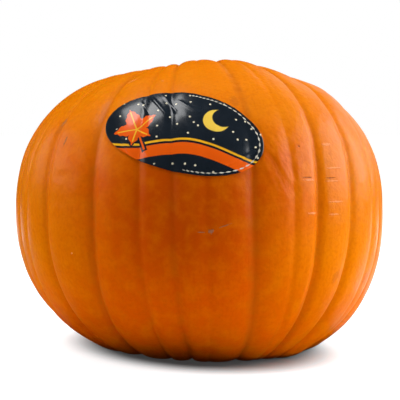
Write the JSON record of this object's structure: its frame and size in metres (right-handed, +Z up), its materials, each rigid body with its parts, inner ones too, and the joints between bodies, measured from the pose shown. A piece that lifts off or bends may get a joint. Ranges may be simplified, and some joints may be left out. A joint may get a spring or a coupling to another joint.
{
  "type": "pumpkin",
  "caption": "Ripe orange carving pumpkin, round and ribbed, resting on a small flat spot, with a dry stem stub in its crown and an oval film label on its front.",
  "frame": {"origin": "on the surface that the pumpkin rests on, under the middle of its bounding box", "axes": "+Z up, +X to the right of someone facing the label, -Y out of the front, where the label is"},
  "size_m": [0.2751, 0.2759, 0.2159],
  "materials": {
    "rind": "smooth waxy orange pumpkin rind, satin, with darker groove bottoms and fine bumps",
    "dry_stem": "dry ridged plant stem, matte, grey-brown with a paler cut end",
    "label_film": "thin glossy printed film, near-black navy with amber and cream motifs"
  },
  "bodies": {
    "root": {"fruit": "rind", "stem": "dry_stem", "front_label": "label_film"}
  },
  "joints": []
}
